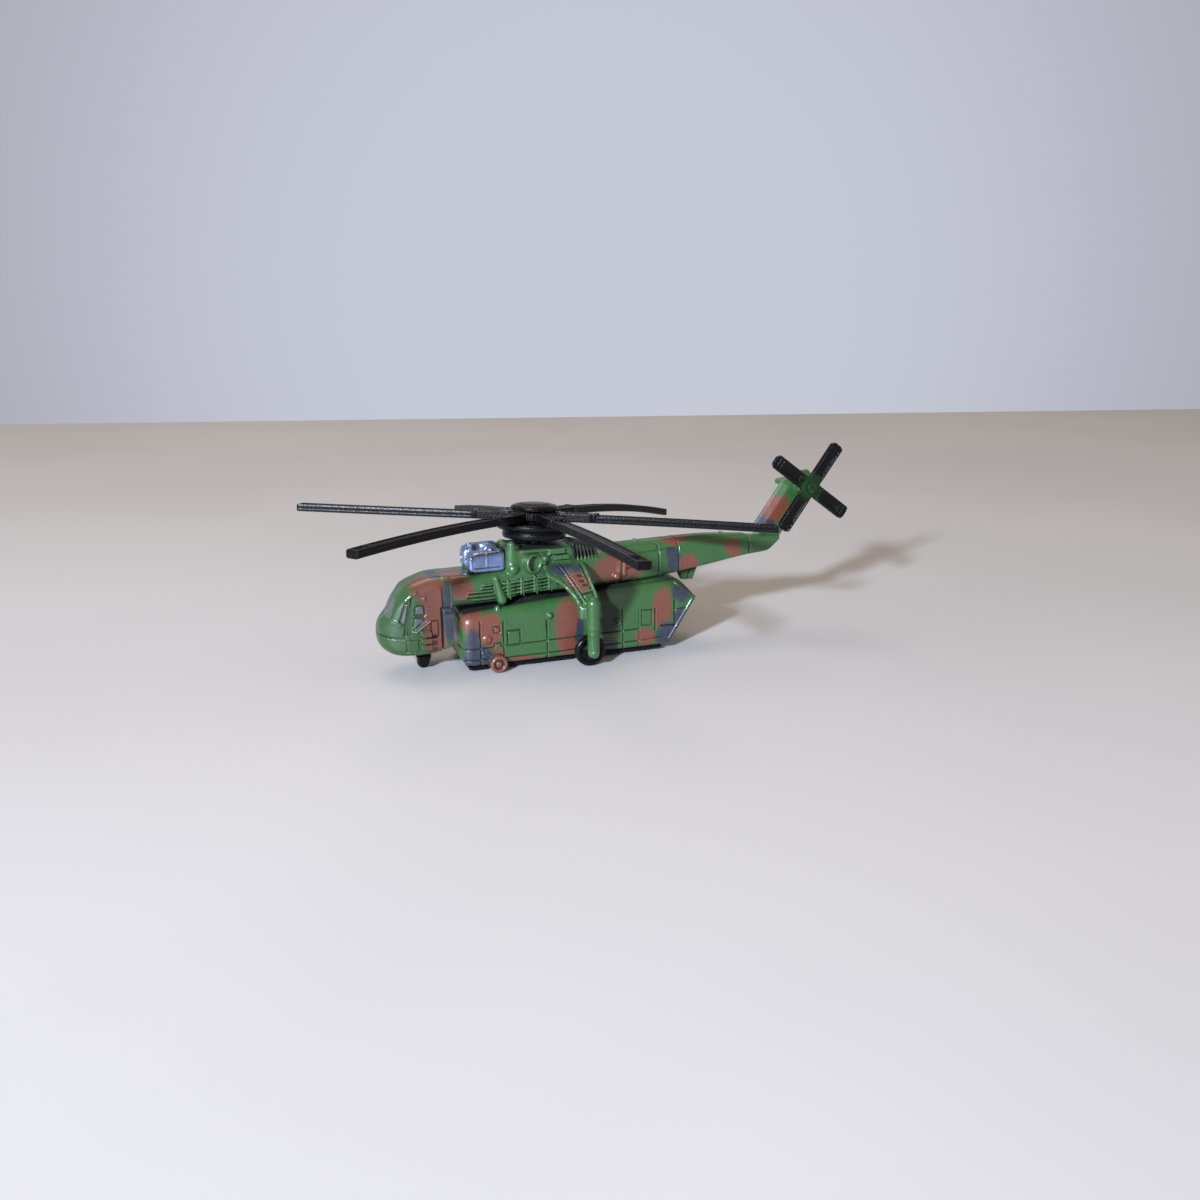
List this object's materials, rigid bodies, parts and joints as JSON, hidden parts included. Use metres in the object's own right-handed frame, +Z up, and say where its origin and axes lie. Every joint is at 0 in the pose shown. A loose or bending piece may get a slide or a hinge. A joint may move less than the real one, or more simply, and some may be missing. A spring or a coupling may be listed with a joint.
{
  "type": "toy helicopter",
  "caption": "Toy cargo helicopter with a freely turning main rotor and tail rotor, rolling wheels and a box-shaped pod that plugs in under the long body.",
  "frame": {"origin": "middle of the whole toy's box, on the surface that its wheels stand on", "axes": "+X towards the nose, +Y towards the toy's left side, +Z up; the main rotor's hub centre is 9.24 mm ahead of the origin"},
  "size_m": [0.0853, 0.0722, 0.0305],
  "materials": {
    "camouflage_paint": "glossy sprayed camouflage in green, terracotta and blue-grey over moulded plastic",
    "black_plastic": "semi-gloss black moulded plastic",
    "black_wheel": "gloss black moulded plastic",
    "silver_coating": "blue-tinted metallised coating",
    "steel_pin": "plain drawn wire"
  },
  "bodies": {
    "airframe": {"body_left_half": "camouflage_paint", "body_right_half": "camouflage_paint", "tail_stabiliser": "camouflage_paint", "tail_skid": "camouflage_paint", "engine_intake_block": "silver_coating", "gear_leg_left": "camouflage_paint", "gear_leg_right": "camouflage_paint", "main_axle_left": "steel_pin", "main_axle_right": "steel_pin", "nose_gear_fork": "black_plastic", "nose_axle": "steel_pin", "rotor_mast": "steel_pin", "tail_rotor_pin": "camouflage_paint"},
    "rotor_assembly": {"main_rotor_blades": "black_plastic", "rotor_cap": "black_plastic", "rotor_collar": "black_plastic"},
    "tail_rotor_assembly": {"tail_rotor": "black_plastic"},
    "left_wheel": {"main_wheel_left": "black_wheel"},
    "right_wheel": {"main_wheel_right": "black_wheel"},
    "front_wheel": {"nose_wheel": "black_wheel"},
    "cargo_pod": {"pod_shell": "camouflage_paint", "pod_base_plate": "black_plastic"}
  },
  "joints": [
    {"name": "main_rotor_spin", "type": "hinge", "parent": "airframe", "child": "rotor_assembly", "pos_m": [0.00924, 0, 0.0221], "axis": [-0.0628, -0.0696, 0.9956], "continuous": true},
    {"name": "tail_rotor_spin", "type": "hinge", "parent": "airframe", "child": "tail_rotor_assembly", "pos_m": [-0.03586, 0.0031, 0.0236], "axis": [0, 1, 0], "continuous": true},
    {"name": "main_wheel_left_roll", "type": "hinge", "parent": "airframe", "child": "left_wheel", "pos_m": [0.00349, 0.0081, 0.00235], "axis": [0, 1, 0], "continuous": true},
    {"name": "main_wheel_right_roll", "type": "hinge", "parent": "airframe", "child": "right_wheel", "pos_m": [0.00349, -0.0081, 0.00235], "axis": [0, 1, 0], "continuous": true},
    {"name": "nose_wheel_roll", "type": "hinge", "parent": "airframe", "child": "front_wheel", "pos_m": [0.02704, 0, 0.00095], "axis": [0, 1, 0], "continuous": true},
    {"name": "pod_release", "type": "slide", "parent": "airframe", "child": "cargo_pod", "axis": [0, 0, -1], "range_m": [0, 0.012]}
  ]
}
